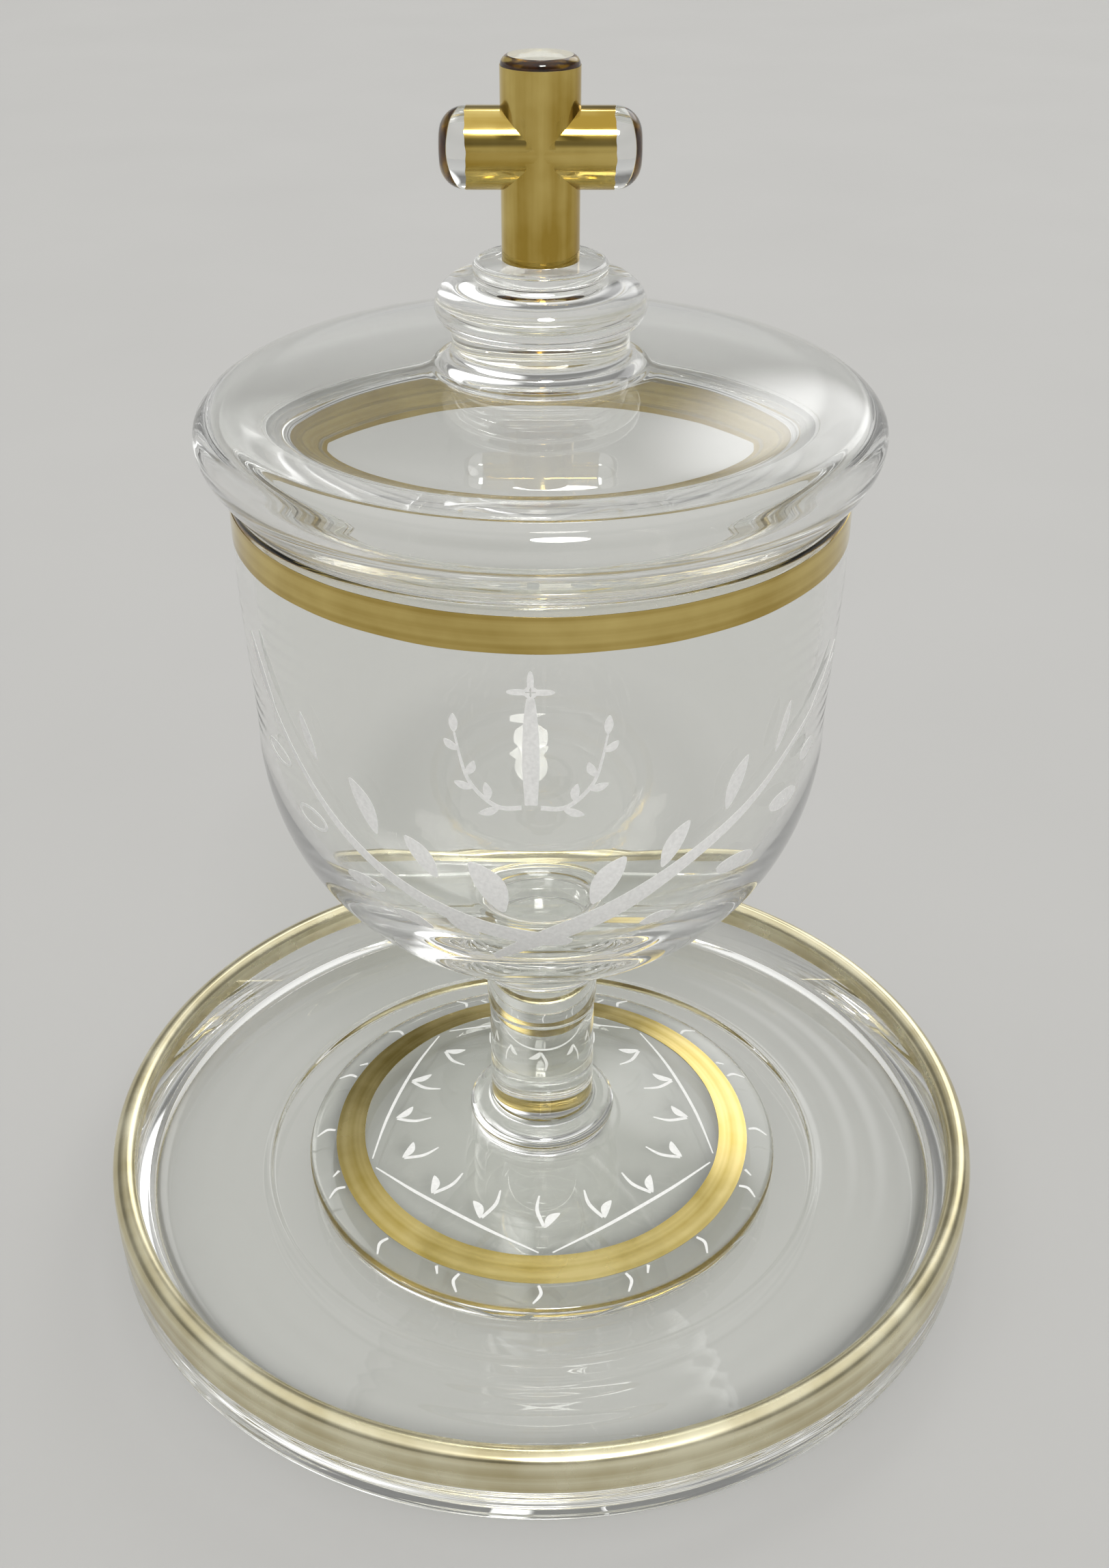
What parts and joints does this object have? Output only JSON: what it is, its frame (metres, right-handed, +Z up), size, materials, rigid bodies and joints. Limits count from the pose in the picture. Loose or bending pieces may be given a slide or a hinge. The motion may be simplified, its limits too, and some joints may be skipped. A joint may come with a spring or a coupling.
{
  "type": "pyx",
  "caption": "Covered clear-glass cup with gilt lines and a cross finial, standing in a round glass saucer; lid and goblet lift off.",
  "frame": {"origin": "on the common axis, at the underside of the saucer", "axes": "+Z up along the common axis of saucer, goblet and lid; the arms of the cross lie along X, and -Y is the front"},
  "size_m": [0.1084, 0.1084, 0.1366],
  "materials": {
    "clear_glass": "fire-polished clear glass with a faint warm grey tint",
    "gilding": "fired gold lustre, polished, lightly worn"
  },
  "bodies": {
    "saucer": {"saucer_dish": "clear_glass", "saucer_gilt_rim": "gilding"},
    "goblet": {"goblet_foot": "clear_glass", "foot_gilt_ring": "gilding", "stem_collar": "clear_glass", "lower_stem": "clear_glass", "upper_stem": "clear_glass", "goblet_bowl": "clear_glass", "bowl_gilt_band": "gilding"},
    "lid": {"lid_shell": "clear_glass", "lid_neck": "clear_glass", "lid_knop": "clear_glass", "lid_disc": "clear_glass", "cross_upright": "clear_glass", "cross_arm_right": "clear_glass", "cross_arm_left": "clear_glass", "cross_gilding": "gilding"}
  },
  "joints": [
    {"name": "goblet_lift", "type": "slide", "parent": "saucer", "child": "goblet", "axis": [0, 0, 1], "range_m": [0, 0.05]},
    {"name": "lid_lift", "type": "slide", "parent": "goblet", "child": "lid", "axis": [0, 0, 1], "range_m": [0, 0.05]}
  ]
}
